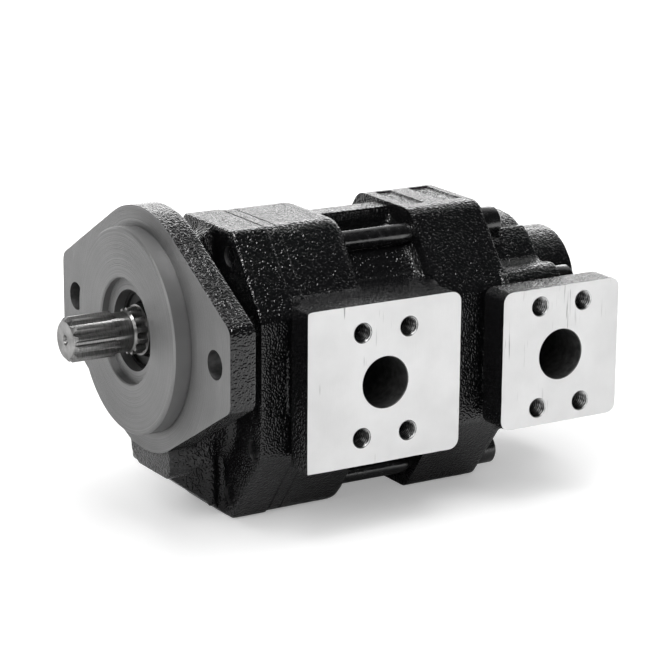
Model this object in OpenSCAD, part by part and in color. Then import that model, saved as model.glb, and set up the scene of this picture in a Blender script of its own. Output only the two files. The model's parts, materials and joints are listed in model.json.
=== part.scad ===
// Tandem gear pump: two gear sections, one behind the other, on one splined shaft.
// X runs along the shaft towards the back, the outlet pads face -Y, and Z is up.
// The origin is the centre of the pilot, on the face of the mounting flange.

/* [Mounting flange] */
// Diameter of the pilot that centres the pump
pilot_d = 101.6; // [90:0.1:108]
// Height of the pilot above the flange face
pilot_h = 9.4; // [8:0.1:12]
// Thickness of the flange plate
flange_t = 14; // [10:0.5:20]
// Diameter of the round middle of the flange
flange_round_d = 121; // [114:0.5:132]
// Width of the flange across its two ears
flange_w = 175.2; // [170:0.1:190]
// Corner radius of the flange ears
flange_corner_r = 6; // [2:0.5:9]
// Distance between the two mounting holes
flange_bolt_span = 146.05; // [144:0.05:150]
// Diameter of the mounting holes
flange_bolt_d = 14.3; // [10:0.1:15]
// Diameter of the recess in the pilot face
recess_d = 52; // [44:0.5:60]
// Depth of the recess in the pilot face
recess_depth = 4; // [2:0.1:5]

/* [Drive shaft] */
// Reach of the shaft end in front of the flange face
shaft_reach = 41.15; // [36:0.05:50]
// Number of spline teeth
spline_teeth = 13; // [10:1:16]
// Outside diameter of the drive spline
spline_d = 22.2; // [20:0.1:24]
// Diameter at the root of the drive spline
spline_root_d = 18.8; // [17:0.1:19]
// Length of the drive spline
spline_l = 25.15; // [18:0.05:28]
// Diameter of the relief groove behind the spline
relief_d = 19.6; // [17:0.1:21]
// Length of the relief groove
relief_l = 8; // [4:0.1:9]
// Outside diameter of the toothed collar behind the groove
collar_d = 23; // [21:0.1:24.5]
// Length of the toothed collar
collar_l = 5.4; // [3:0.1:6]
// Diameter of all bearing journals
journal_d = 25; // [22:0.5:27]
// Diameter of the shaft ends inside the coupling sleeve
stub_d = 20; // [16:0.5:20]

/* [Gears] */
// Number of teeth on every gear
gear_teeth = 12; // [12:1:13]
// Module of every gear
gear_module = 3.6; // [3.5:0.05:3.7]
// Pressure angle of the teeth
pressure_angle = 25; // [23:0.5:27]
// Clearance under the tooth tips
tip_clearance = 0.5; // [0.3:0.05:0.8]
// Play between the flanks of a meshing pair
backlash = 0.2; // [0.1:0.05:0.4]
// Width of the front pair
front_gear_w = 40; // [30:1:50]
// Width of the rear pair
rear_gear_w = 18; // [14:0.5:24]

/* [Castings] */
// Gap between the flange and the block of the front cover
neck_l = 22; // [16:0.5:30]
// Diameter of the neck's round ends
neck_d = 54; // [50:0.5:68]
// Length of the block of the front cover
cover_block_l = 19.2; // [16:0.1:26]
// Width of the blocks
block_w = 106; // [102:0.5:112]
// Height of the blocks
block_h = 145.6; // [140:0.2:152]
// How far the middle of the blocks and of the bolt pattern sits below the shaft axis
block_drop = 23.8; // [22:0.1:26]
// Width of the flat top and bottom of the blocks
block_top_w = 48; // [42:0.5:54]
// Height of the upright sides of the blocks
block_side_h = 68.8; // [60:0.5:76]
// Length of the block at the front of the front housing
front_block_l = 42.8; // [36:0.1:50]
// Length of the block at the front of the rear housing
rear_block_l = 42.7; // [38:0.1:50]
// Corner radius along the sides of the blocks
block_side_r = 5; // [2:0.5:8]
// Corner radius along the top and bottom of the front cover
cover_top_r = 4; // [2:0.5:10]
// Corner radius along the top and bottom of the housings
block_top_r = 11; // [4:0.5:16]
// Edge radius at the back of the front block
block_back_r = 6; // [2:0.5:8]
// Edge radius at the back of the rear block
rear_back_r = 1.5; // [1:0.5:4]
// Wall of the housings round the gear bores
housing_wall = 11.1; // [9:0.1:12]
// Extra wall on the shoulders of the housings
shoulder_step = 2.1; // [1:0.1:3.5]
// Radius of the housing bosses round the long bolts
bolt_boss_r = 11; // [9:0.5:12]
// Width of the rib on top of the front housing and of the neck
rib_w = 11.6; // [8:0.2:16]
// Depth of that rib below the top of the block
rib_drop = 1.6; // [0.5:0.1:4]
// Radius of the flare where the front housing meets the rear one
flare_r = 8; // [4:0.5:10]
// Wall behind the front gear chamber
front_end_wall = 9.3; // [8.5:0.1:14]
// Wall behind the rear gear chamber
rear_end_wall = 6.5; // [5:0.1:10]
// Diameter of the two round bosses on the back end
end_boss_d = 56; // [46:0.5:58]
// Length of the two round bosses on the back end
end_boss_l = 28.5; // [27:0.5:36]
// How far the end bosses sit below and above the gear axes, towards the middle
end_boss_shift = 3; // [0:0.5:4]
// Width of the foot under the flange, from the middle to the outlet side
foot_near = 25.5; // [20:0.5:28]
// Width of the foot from the middle to the inlet side
foot_far = 17; // [14:0.5:28]
// Depth of the foot below the shaft axis at its front
foot_drop = 71; // [64:0.5:76]
// Depth of the plain label pockets
pocket_depth = 0.9; // [0.5:0.1:1.5]

/* [Bearings] */
// Wall of the plain bearing bushes
bush_wall = 2; // [1.5:0.1:2.5]
// Length of the bush in the front cover
cover_bush_l = 22; // [16:0.5:24]
// Length of the front bearing block
fore_block_l = 17.8; // [15:0.1:24]
// Length of the block behind the front gears
aft_block_l = 15; // [13:0.1:20]
// Length of the insert that parts the two sections
carrier_l = 27.7; // [26:0.1:34]
// Length of the bearing block of the rear section
rear_bearing_l = 17; // [14:0.1:22]
// Thickness of the wear plate of the rear section
wear_plate_t = 3.5; // [2.5:0.1:5]
// Length of the bushes in the back end
end_bush_l = 26; // [18:0.5:26]

/* [Ports] */
// Distance from the shaft axis to the front pad faces
pad_face = 73.7; // [70:0.1:84]
// How much further out the rear pad faces are
rear_pad_step = 1.3; // [0:0.1:3]
// Depth of the port bores, which narrow to a passage behind that
port_depth = 38; // [30:0.5:39]
// Depth of the port centres below the shaft axis
port_drop = 21.6; // [21:0.1:24]
// Bore of the outlet ports and of the rear inlet
port_d = 25.4; // [20:0.1:27]
// Hole distance along the pump at those ports
port_bolts_x = 26.2; // [25:0.1:30]
// Hole distance up the pump at those ports
port_bolts_z = 52.4; // [50:0.1:56]
// Threaded hole at those ports, tapping diameter
port_hole_d = 8.5; // [7:0.1:9]
// Bore of the front inlet
inlet_d = 38.1; // [30:0.1:40]
// Hole distance along the pump at the front inlet
inlet_bolts_x = 35.7; // [34:0.1:40]
// Hole distance up the pump at the front inlet
inlet_bolts_z = 69.85; // [68:0.05:74]
// Threaded hole at the front inlet, tapping diameter
inlet_hole_d = 10.2; // [8.5:0.1:11]
// Depth of the threaded port holes
port_hole_depth = 16; // [13:0.5:20]
// Width of the front pads
front_pad_w = 86.5; // [80:0.5:88]
// Height of the front outlet pad
front_pad_h = 80; // [74:0.5:86]
// Height of the front inlet pad
inlet_pad_h = 94; // [88:0.5:98]
// Width of the rear pads
rear_pad_w = 70.3; // [66:0.1:74]
// Height of the rear pads
rear_pad_h = 70.8; // [66:0.1:76]
// Thickness of the rear pad plates
rear_pad_t = 17.3; // [10:0.1:19]
// Corner radius of the pads
pad_corner_r = 5; // [2:0.5:9]
// How far the rear ports sit behind the middle of the rear gears
rear_port_offset = 4.6; // [0:0.1:5]

/* [Fasteners] */
// Diameter of the tie bolts
bolt_d = 10; // [8:0.5:10]
// Distance between the two upper short bolts
short_bolt_span = 44; // [42:0.5:46]
// Height of the upper short bolts above the shaft axis
short_bolt_z = 36.5; // [36:0.1:40]
// Distance between the two upper long bolts
long_bolt_span = 91; // [89:0.5:92]
// Height of the upper long bolts above the shaft axis
long_bolt_z = 7.2; // [6:0.1:9]
// Head diameter of the tie bolts
socket_head_d = 16; // [13:0.5:16]
// Head height of the tie bolts
socket_head_h = 10; // [7:0.5:11]
// Diameter of the dowels
dowel_d = 8; // [6:0.5:8]
// Length of the dowels
dowel_l = 15.6; // [12:0.2:16]

/* [Fits] */
// Radial clearance of journals in bushes and of gear tips in the housings
running_fit = 0.05; // [0.03:0.01:0.08]
// Clearance at the ends of gears and blocks
end_play = 0.05; // [0.03:0.01:0.08]
// Radial clearance of bolts in their through holes
bolt_clearance = 0.5; // [0.3:0.1:0.7]
// Gap between a front pad and the block of the cover beside it
pad_gap = 5; // [0.5:0.1:6]
// Room between the front pads and the joint behind them
pad_land = 1.3; // [0.5:0.1:4]

/* [Hidden] */
$fn = 64;

// Heights
centre_distance = gear_teeth * gear_module;
low_z = -centre_distance;
mid_z = low_z / 2;
port_z = -port_drop;
block_z = -block_drop;
block_top = block_z + block_h / 2;
block_bottom = block_z - block_h / 2;

// Stations along X. The front pads sit a little forward of their ports
pad_shift = 0.3;
block_x = flange_t + neck_l;
joint_1 = block_x + cover_block_l;
front_gear_x = joint_1 + fore_block_l;
front_chamber_end = front_gear_x + front_gear_w + aft_block_l;
front_port_x = front_gear_x + front_gear_w / 2;
front_pad_x = front_port_x - front_pad_w / 2 - pad_shift;
joint_2 = max(front_chamber_end + front_end_wall, front_pad_x + front_pad_w + pad_land);
front_block_end = joint_1 + front_block_l;
rear_block_end = joint_2 + rear_block_l;
carrier_end = joint_2 + carrier_l;
rear_gear_x = carrier_end + rear_bearing_l;
rear_plate_x = rear_gear_x + rear_gear_w;
rear_chamber_end = rear_plate_x + wear_plate_t;
back_x = rear_chamber_end + rear_end_wall;
boss_end = back_x + end_boss_l;
rear_port_x = rear_gear_x + rear_gear_w / 2 + rear_port_offset;

// The passages break through the edge where the two gear bores meet
port_root_y = 12.5;
passage_share = 0.7;
// The threaded holes stay inside the rear pads
hole_depth = min(port_hole_depth, rear_pad_t - 1.3);

// Gear sizes
pitch_r = centre_distance / 2;
tip_r = pitch_r + gear_module;
root_r = centre_distance - tip_r - tip_clearance;
base_r = pitch_r * cos(pressure_angle);
flank_steps = 5;
root_flare = 1.6;
gear_bore_r = tip_r + running_fit;

// Bearings and walls
bush_bore_d = journal_d + 2 * running_fit;
bush_d = journal_d + 2 * bush_wall;
wall_r = gear_bore_r + housing_wall;
shoulder_r = wall_r + shoulder_step;
shoulder_y = 20.5;
side_wall_y = long_bolt_span / 2 + 4;
fillet_bite = 0.1;

// Bolt places as [y, z]
short_bolts = [for (y = [-1, 1], z = [short_bolt_z, 2 * block_z - short_bolt_z]) [y * short_bolt_span / 2, z]];
long_bolts = [for (y = [-1, 1], z = [long_bolt_z, 2 * block_z - long_bolt_z]) [y * long_bolt_span / 2, z]];
bolt_tip_x = block_x + 1;
thread_fit = 0.05;
dowel_y = 44;
dowel_room = 0.2;
rear_pad_face = pad_face + rear_pad_step;

// Plain panel on the side of the cover, and label pockets as [distance behind the joint, length]
panel_margin = 5.7;
panel_w = 9.2;
panel_h = 31.5;
panel_low_z = -36.9;
pockets = [[7, 8], [27, 10.2]];
pocket_near_y = 13.5;
pocket_span = 31;

// Seals
groove_w = 2.5;
groove_depth = 2;
groove_r = gear_bore_r + 3;
seal_squeeze = 0.1;
block_seal_r = tip_r - 1.8;
block_seal_w = 1.6;
shaft_seal_d = 40;
shaft_seal_l = 8;
shaft_seal_x = 1.6;
ring_groove_d = 42.4;
ring_groove_w = 1.7;
interstage_d = 32;
interstage_l = joint_2 - front_chamber_end - 3.3;
stub_bore_d = stub_d + 1.2;

// Coupling sleeve and the splined stubs inside it
spline_play = 0.03;
sleeve_gap = 2;
sleeve_l = 22;
sleeve_wall = 4.5;
stub_l = 12;
stub_gap = 1;

// Centre hole in the end of the drive shaft
centre_hole_d = 2.5;
centre_hole_l = 8;

// Finishes
black_paint = [0.07, 0.07, 0.075];
bright_steel = [0.62, 0.62, 0.63];
bronze = [0.66, 0.50, 0.30];
alloy = [0.72, 0.72, 0.70];
black_rubber = [0.10, 0.10, 0.10];
dark_steel = [0.25, 0.25, 0.26];

function unit(v) = v / norm(v);
function polar(r, angle) = [r * cos(angle), r * sin(angle)];
function involute_angle(r) = let (a = acos(base_r / r)) tan(a) * 180 / PI - a;
function tooth_half(r) = 90 / gear_teeth - backlash / (4 * pitch_r) * 180 / PI
    + involute_angle(pitch_r) - involute_angle(r);

// Extrudes an outline drawn in Y and Z along X
module along_x(x0, x1) {
    translate([x0, 0, 0]) rotate([90, 0, 90]) linear_extrude(x1 - x0) children();
}

// Extrudes an outline drawn in X and Z along Y
module along_y(y0, y1) {
    translate([0, y1, 0]) rotate([90, 0, 0]) linear_extrude(y1 - y0) children();
}

// Round bar along X
module rod(x0, x1, d, at = [0, 0]) {
    translate([x0, at[0], at[1]]) rotate([0, 90, 0]) cylinder(h = x1 - x0, d = d);
}

// Tapered bar along X
module taper(x0, x1, d0, d1, at = [0, 0]) {
    translate([x0, at[0], at[1]]) rotate([0, 90, 0]) cylinder(h = x1 - x0, d1 = d0, d2 = d1);
}

// Tube along X
module tube(x0, x1, d, bore, at = [0, 0]) {
    difference() {
        rod(x0, x1, d, at);
        rod(x0 - 1, x1 + 1, bore, at);
    }
}

// Convex outline with its own radius at each corner
module rounded(points, radii) {
    n = len(points);
    corners = [for (i = [0:n - 1])
        let (b = points[i], u = unit(points[(i + n - 1) % n] - b), v = unit(points[(i + 1) % n] - b))
        [b, u, v, acos(u * v) / 2, radii[i]]];
    polygon([for (c = corners, arm = c[4] > 0 ? [1, 2] : [1]) c[0] + c[arm] * c[4] / tan(c[3])]);
    for (c = corners) if (c[4] > 0)
        translate(c[0] + unit(c[1] + c[2]) * c[4] / sin(c[3])) circle(c[4]);
}

// Slot shape round both gear axes
module stadium(r) {
    translate([0, low_z]) circle(r);
    circle(r);
    translate([-r, low_z]) square([2 * r, centre_distance]);
}

// Two crossing circles, the shape of a gear chamber
module figure_eight(r) {
    translate([0, low_z]) circle(r);
    circle(r);
}

// The same on both gear axes
module both_axes() {
    for (z = [0, low_z]) translate([0, 0, z]) children();
}

// Concave fillet that fills the valley between two round walls, biting a little into both
module valley(c1, r1, c2, r2, fillet, side) {
    d = norm(c2 - c1);
    a = r1 + fillet - fillet_bite;
    b = r2 + fillet - fillet_bite;
    along = (d * d + a * a - b * b) / (2 * d);
    u = unit(c2 - c1);
    centre = c1 + u * along + [-u[1], u[0]] * side * sqrt(a * a - along * along);
    difference() {
        polygon([c1, c2, centre]);
        translate(centre) circle(fillet);
    }
}

// Castings

// Eight-sided outline of the blocks
module block_outline(top_r, low_r) {
    y0 = block_top_w / 2;
    y1 = block_w / 2;
    z0 = block_h / 2;
    z1 = block_side_h / 2;
    translate([0, block_z])
        rounded([[y0, z0], [-y0, z0], [-y1, z1], [-y1, -z1], [-y0, -z0], [y0, -z0], [y1, -z1], [y1, z1]],
            [top_r, top_r, block_side_r, block_side_r, low_r, low_r, block_side_r, block_side_r]);
}

// Block of a housing whose back edge is rounded to radius r
module rounded_block(x0, x1, low_r, r) {
    hull() {
        along_x(x0, x1 - r) block_outline(block_top_r, low_r, $fn = 32);
        for (a = [30:30:90])
            along_x(x1 - r, x1 - r + r * sin(a)) offset(delta = -r * (1 - cos(a)))
                block_outline(block_top_r, low_r, $fn = 32);
    }
}

// Outline of the housings behind their blocks
module housing_outline() {
    stadium(wall_r);
    translate([-side_wall_y, 2 * block_z - long_bolt_z]) square([2 * side_wall_y, 2 * (long_bolt_z - block_z)]);
    shoulders(long_bolt_z);
    translate([0, low_z]) mirror([0, 1]) shoulders(low_z - 2 * block_z + long_bolt_z);
}

// Bosses of two long bolts at height z over a gear axis, with the shoulders between them
module shoulders(z) {
    for (s = [-1, 1]) {
        boss = [s * long_bolt_span / 2, z];
        translate(boss) circle(bolt_boss_r);
        valley([0, 0], shoulder_r, boss, bolt_boss_r, 8, s);
        intersection() {
            circle(shoulder_r);
            translate([s > 0 ? shoulder_y : -shoulder_r, 0]) square([shoulder_r - shoulder_y, shoulder_r]);
        }
    }
}

// Flare that widens a round wall of radius r towards the face at x
module flare(x, r, size) {
    both_axes() translate([x, 0, 0]) rotate([0, 90, 0]) rotate_extrude()
        difference() {
            translate([r - 1, -size]) square([size - 0.5, size]);
            translate([r + size - fillet_bite, -size]) circle(size);
        }
}

// Holes for one set of bolts
module bolt_holes(places, x0, x1, d) {
    for (at = places) rod(x0, x1, d, at);
}

module dowel_holes(x) {
    for (y = [-1, 1]) rod(x - dowel_l / 2 - dowel_room, x + dowel_l / 2 + dowel_room, dowel_d, [y * dowel_y, mid_z]);
}

// Round groove for a joint seal, cut forward from the face at x
module seal_groove(x) {
    along_x(x - groove_depth, x + 1) seal_ring_outline(0);
}

module seal_ring_outline(gap) {
    difference() {
        stadium(groove_r + groove_w - gap);
        stadium(groove_r + gap);
    }
}

// Pad outline round a port, in X and Z
module pad_outline(x0, x1, h, radii) {
    z0 = port_z - h / 2;
    z1 = port_z + h / 2;
    rounded([[x0, z0], [x1, z0], [x1, z1], [x0, z1]], radii);
}

// Port bore with its four threaded holes, cut from the pad whose face is at distance face on side s
module port_cut(x, face, d, bolts_x, bolts_z, hole_d, s) {
    mirror([0, s > 0 ? 1 : 0, 0]) {
        translate([x, -port_root_y, port_z]) rotate([90, 0, 0]) cylinder(h = face - port_root_y - 1, d = passage_share * d);
        translate([x, port_depth - face, port_z]) rotate([90, 0, 0]) cylinder(h = port_depth + 1, d = d);
        for (i = [-1, 1], k = [-1, 1])
            translate([x + i * bolts_x / 2, hole_depth - face, port_z + k * bolts_z / 2]) rotate([90, 0, 0])
                cylinder(h = hole_depth + 1, d = hole_d);
    }
}

// Pads of the front housing, on side s
module front_pad(h, s) {
    x0 = front_pad_x;
    x1 = x0 + front_pad_w;
    y = block_w / 2 + pad_gap;
    mirror([0, s > 0 ? 1 : 0, 0]) difference() {
        along_y(-pad_face, -bolt_boss_r) pad_outline(x0, x1, h, [0, pad_corner_r, pad_corner_r, 0]);
        translate([x0 - 1, -y, -block_h]) cube([joint_1 - x0 + 1, y, 2 * block_h]);
        along_x(x0 - 1, front_chamber_end) stadium(wall_r - 1);
    }
}

// Pads of the rear housing, on side s
module rear_pad(s) {
    x0 = rear_port_x - rear_pad_w / 2;
    x1 = x0 + rear_pad_w;
    r = pad_corner_r;
    back_y = rear_pad_face - rear_pad_t;
    root_y = rear_pad_face - port_depth - 18;
    neck_z = long_bolt_z - bolt_boss_r;
    neck_h = 2 * (neck_z - block_z);
    neck_back = 0.36 * rear_pad_w;
    mirror([0, s > 0 ? 1 : 0, 0]) {
        along_y(-rear_pad_face, -back_y) pad_outline(x0, x1, rear_pad_h, [r, r, r, r]);
        // Neck round the port, and the web from the pad to the block in front of it
        translate([rear_block_end - 2, -back_y - 1, neck_z - neck_h])
            cube([rear_port_x + neck_back - rear_block_end + 2, back_y + 1 - root_y, neck_h]);
        translate([x0 + r, -back_y - 1, neck_z - neck_h])
            cube([rear_block_end - x0 - r, back_y + 1 - block_w / 2 + bolt_boss_r / 2, neck_h]);
    }
}

// Front cover

// Lozenge of the two-bolt flange with its round middle
module flange_outline() {
    r = flange_round_d / 2;
    slope = 30;
    y = flange_w / 2;
    touch = polar(r, 90 - slope);
    z = touch[1] - (y - touch[0]) * tan(slope);
    circle(r);
    rounded([touch, [-touch[0], touch[1]], [-y, z], [-y, -z], [-touch[0], -touch[1]],
        [touch[0], -touch[1]], [y, -z], [y, z]],
        [0, 0, flange_corner_r, flange_corner_r, 0, 0, flange_corner_r, flange_corner_r]);
}

// Foot under the flange
module foot_outline() {
    rounded([[-foot_near, low_z], [-foot_near, -foot_drop], [foot_far, -foot_drop], [foot_far, low_z]], [0, 6, 12, 0]);
}

module cover_body() {
    chamfer = 1;
    flare_size = 5;
    foot_x = 1;
    foot_bar_l = neck_l - 10;
    foot_side_z = foot_drop - 5;
    web_y = foot_near - 10;
    web_rise = neck_d / 2 + 6;
    rib_x = block_x - 9;
    rib_size = [4, 3];
    rib_gap = 6;
    taper(-pilot_h, chamfer - pilot_h, pilot_d - 2 * chamfer, pilot_d);
    rod(chamfer - pilot_h, 0, pilot_d);
    along_x(0, flange_t) flange_outline();
    along_x(flange_t, block_x) stadium(neck_d / 2);
    flare(block_x, neck_d / 2, flare_size);
    along_x(block_x, joint_1) block_outline(cover_top_r, cover_top_r);
    // Web above the neck
    along_y(-rib_w / 2, rib_w / 2)
        polygon([[flange_t, 0], [flange_t, web_rise], [block_x, block_top - rib_drop], [block_x, 0]]);
    // Foot, the bar behind it, the web that slopes to the bottom of the block, and a rib on its side
    along_x(foot_x, flange_t) foot_outline();
    translate([flange_t, -foot_near, -foot_side_z]) cube([foot_bar_l, foot_near + foot_far, foot_side_z + low_z]);
    along_y(-web_y, foot_far)
        polygon([[foot_x + 1, low_z], [foot_x + 1, 1 - foot_drop], [block_x, block_bottom + 1], [block_x, low_z]]);
    translate([rib_x, 1 - web_y - rib_size[1], block_bottom + rib_gap])
        cube([rib_size[0], rib_size[1], low_z - block_bottom]);
}

module front_cover() {
    color(black_paint) difference() {
        cover_body();
        rod(-pilot_h - 1, recess_depth - pilot_h, recess_d);
        rod(-pilot_h, shaft_seal_x + shaft_seal_l, shaft_seal_d);
        rod(shaft_seal_x - ring_groove_w, shaft_seal_x, ring_groove_d);
        rod(0, joint_1 + 1, journal_d + 3);
        rod(joint_1 - cover_bush_l - 3, joint_1 + 1, bush_d);
        for (y = [-1, 1]) rod(-1, flange_t + 1, flange_bolt_d, [y * flange_bolt_span / 2, 0]);
        for (set = [short_bolts, long_bolts]) bolt_holes(set, block_x - 1, joint_1 + 1, bolt_d + 2 * thread_fit);
        dowel_holes(joint_1);
        seal_groove(joint_1);
        // Plain sunk panel on the side towards the outlets
        along_y(-block_w / 2 - 1, pocket_depth - block_w / 2)
            translate([block_x + panel_margin, panel_low_z]) square([panel_w, panel_h]);
    }
}

// Housings

module front_housing() {
    color(black_paint) difference() {
        union() {
            rounded_block(joint_1, front_block_end, block_top_r, block_back_r);
            along_x(front_block_end - block_back_r, joint_2) housing_outline();
            along_x(front_block_end - block_back_r, joint_2) {
                translate([-rib_w / 2, 0]) square([rib_w, block_top - rib_drop]);
                translate([-rib_w / 2, block_bottom + rib_drop]) square([rib_w, low_z - block_bottom - rib_drop]);
            }
            flare(joint_2, wall_r, flare_r);
            front_pad(front_pad_h, -1);
            front_pad(inlet_pad_h, 1);
        }
        along_x(joint_1 - 1, front_chamber_end) figure_eight(gear_bore_r);
        rod(front_chamber_end - 1, joint_2 + 1, stub_bore_d);
        rod(joint_2 - interstage_l, joint_2 + 1, interstage_d);
        bolt_holes(short_bolts, joint_1 - 1, joint_2 + 1, bolt_d + 2 * bolt_clearance);
        bolt_holes(long_bolts, joint_1 - 1, joint_2 + 1, bolt_d + 2 * bolt_clearance);
        dowel_holes(joint_1);
        dowel_holes(joint_2);
        seal_groove(joint_2);
        port_cut(front_port_x, pad_face, port_d, port_bolts_x, port_bolts_z, port_hole_d, -1);
        port_cut(front_port_x, pad_face, inlet_d, inlet_bolts_x, inlet_bolts_z, inlet_hole_d, 1);
    }
}

module rear_housing() {
    web_w = 36;
    color(black_paint) difference() {
        union() {
            rounded_block(joint_2, rear_block_end, block_side_r, rear_back_r);
            along_x(rear_block_end - 2 * rear_back_r, back_x) housing_outline();
            rod(back_x, boss_end, end_boss_d, [0, -end_boss_shift]);
            rod(back_x, boss_end, end_boss_d, [0, low_z + end_boss_shift]);
            along_x(back_x, boss_end - 8) translate([-web_w / 2, low_z]) square([web_w, centre_distance]);
            rear_pad(-1);
            rear_pad(1);
        }
        along_x(joint_2 - 1, rear_chamber_end) figure_eight(gear_bore_r);
        both_axes() rod(rear_chamber_end - 1, rear_chamber_end + end_bush_l + 2, bush_d);
        bolt_holes(short_bolts, joint_2 - 1, rear_block_end + 1, bolt_d + 2 * bolt_clearance);
        bolt_holes(long_bolts, joint_2 - 1, back_x + 1, bolt_d + 2 * bolt_clearance);
        dowel_holes(joint_2);
        // Room for the heads of the short bolts beside the round wall
        bolt_holes(short_bolts, rear_block_end, rear_block_end + socket_head_h + 2, socket_head_d + 1.6);
        for (s = [-1, 1]) port_cut(rear_port_x, rear_pad_face, port_d, port_bolts_x, port_bolts_z, port_hole_d, s);
        // Two plain label pockets on the top
        for (pocket = pockets)
            translate([joint_2 + pocket[0], -pocket_near_y, block_top - pocket_depth])
                cube([pocket[1], pocket_span, 5]);
    }
}

// Shafts and gears

module gear_outline(phase) {
    flank = [for (k = [0:flank_steps]) base_r + (tip_r - base_r) * k / flank_steps];
    root_half = tooth_half(base_r) + root_flare;
    polygon([for (i = [0:gear_teeth - 1]) let (mid = phase + 360 * i / gear_teeth) each concat(
        [polar(root_r, mid - root_half)],
        [for (r = flank) polar(r, mid - tooth_half(r))],
        [for (k = [flank_steps:-1:0]) polar(flank[k], mid + tooth_half(flank[k]))],
        [polar(root_r, mid + root_half)]
    )]);
}

// The upper gears point a tooth at the lower ones, which have a gap there
module upper_gear(x, w) {
    along_x(x + end_play, x + w - end_play) gear_outline(-90);
}

module lower_gear(x, w) {
    translate([0, 0, low_z]) along_x(x + end_play, x + w - end_play) gear_outline(90 + 180 / gear_teeth);
}

// Straight-sided spline teeth, larger by play where they are cut in a hub
module spline_outline(root_d, d, play = 0) {
    past_tip = 0.5;
    extra = play / d * 115;
    root_half = 0.375 * 360 / spline_teeth + extra;
    tip_half = 0.1 * 360 / spline_teeth + extra;
    intersection() {
        circle(d / 2 + play);
        polygon([for (i = [0:spline_teeth - 1]) let (mid = 360 * i / spline_teeth) each [
            polar(root_d / 2 + play, mid - root_half), polar(d / 2 + past_tip, mid - tip_half),
            polar(d / 2 + past_tip, mid + tip_half), polar(root_d / 2 + play, mid + root_half)
        ]]);
    }
}

// Solid that chamfers both ends of a spline between x0 and x1
module spline_ends(x0, x1, d) {
    past = 2;
    taper(x0, x0 + 3, d - 4, d + past);
    rod(x0 + 3, x1 - 2.5, d + past);
    taper(x1 - 2.5, x1, d + past, d - 3);
}

module drive_shaft() {
    tip = -shaft_reach;
    groove = tip + spline_l;
    collar = groove + relief_l;
    color(bright_steel) difference() {
        union() {
            intersection() {
                along_x(tip, groove) spline_outline(spline_root_d, spline_d);
                spline_ends(tip, groove, spline_d);
            }
            rod(groove - 3, collar, relief_d);
            taper(collar - 2, collar, relief_d - 1, relief_d + 1.4);
            along_x(collar, collar + collar_l) spline_outline(relief_d + 0.5, collar_d);
            rod(collar + collar_l, front_chamber_end, journal_d);
            upper_gear(front_gear_x, front_gear_w);
            rod(front_chamber_end - 1, joint_2 + 1, stub_d);
            along_x(joint_2 + 1, joint_2 + stub_l) stub_spline();
        }
        taper(tip - 0.5, tip + 3, 2 * centre_hole_d + 0.7, centre_hole_d - 0.3);
        rod(tip + 2, tip + centre_hole_l, centre_hole_d);
    }
}

module stub_spline(play = 0) {
    spline_outline(stub_d - 3, stub_d - 0.4, play);
}

module coupling_sleeve() {
    x0 = joint_2 + sleeve_gap;
    color(dark_steel) difference() {
        rod(x0, x0 + sleeve_l, stub_d + 2 * sleeve_wall);
        along_x(x0 - 1, x0 + sleeve_l + 1) stub_spline(spline_play);
    }
}

module rear_drive_gear() {
    color(bright_steel) {
        along_x(joint_2 + stub_l + stub_gap, carrier_end - 3) stub_spline();
        rod(carrier_end - 3, carrier_end + 1, stub_d);
        rod(carrier_end + 1, rear_chamber_end + end_bush_l - 0.5, journal_d);
        upper_gear(rear_gear_x, rear_gear_w);
    }
}

module front_driven_gear() {
    color(bright_steel) {
        rod(joint_1 + 1, front_chamber_end - 1, journal_d, [0, low_z]);
        lower_gear(front_gear_x, front_gear_w);
    }
}

module rear_driven_gear() {
    color(bright_steel) {
        rod(carrier_end + 1, rear_chamber_end + end_bush_l - 0.5, journal_d, [0, low_z]);
        lower_gear(rear_gear_x, rear_gear_w);
    }
}

// Bearing blocks, which fill the gear chambers at both sides of the gears

module figure_block(x0, x1) {
    along_x(x0 + end_play, x1 - end_play) figure_eight(tip_r);
}

// Block with two bush bores and a groove for its seal in the face at groove_x
module bearing_block(x0, x1, groove_x) {
    difference() {
        figure_block(x0, x1);
        both_axes() rod(x0 - 1, x1 + 1, bush_d);
        along_x(groove_x - 1.5, groove_x + 1.5) block_seal_outline(0);
    }
}

module block_seal_outline(gap) {
    difference() {
        figure_eight(block_seal_r - gap);
        figure_eight(block_seal_r - block_seal_w + gap);
    }
}

module fore_bearing_block() {
    color(alloy) bearing_block(joint_1, front_gear_x, joint_1);
}

module aft_bearing_block() {
    color(alloy) bearing_block(front_chamber_end - aft_block_l, front_chamber_end, front_chamber_end);
}

module rear_bearing_block() {
    color(alloy) bearing_block(carrier_end, rear_gear_x, carrier_end);
}

module centre_carrier() {
    color(alloy) difference() {
        figure_block(joint_2, carrier_end);
        rod(joint_2 - 1, carrier_end - 2.5, stub_d + 2 * sleeve_wall + 1);
        rod(joint_2, carrier_end + 1, stub_bore_d);
    }
}

module rear_wear_plate() {
    color(bronze) difference() {
        figure_block(rear_plate_x, rear_chamber_end);
        both_axes() rod(rear_plate_x - 1, rear_chamber_end + 1, journal_d + 1);
    }
}

// Bushes

module bush(x0, x1, z = 0) {
    tube(x0, x1, bush_d, bush_bore_d, [0, z]);
}

module bush_pair(x0, x1) {
    for (z = [0, low_z]) bush(x0, x1, z);
}

module cover_bush() {
    color(bronze) bush(joint_1 - cover_bush_l - 3, joint_1 - 3);
}

module fore_block_bushes() {
    color(bronze) bush_pair(joint_1 + 0.5, front_gear_x - 0.5);
}

module aft_block_bushes() {
    color(bronze) bush_pair(front_chamber_end - aft_block_l + 0.5, front_chamber_end - 0.5);
}

module rear_block_bushes() {
    color(bronze) bush_pair(carrier_end + 0.5, rear_gear_x - 0.5);
}

module end_bushes() {
    color(bronze) bush_pair(rear_chamber_end, rear_chamber_end + end_bush_l);
}

// Seals

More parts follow.
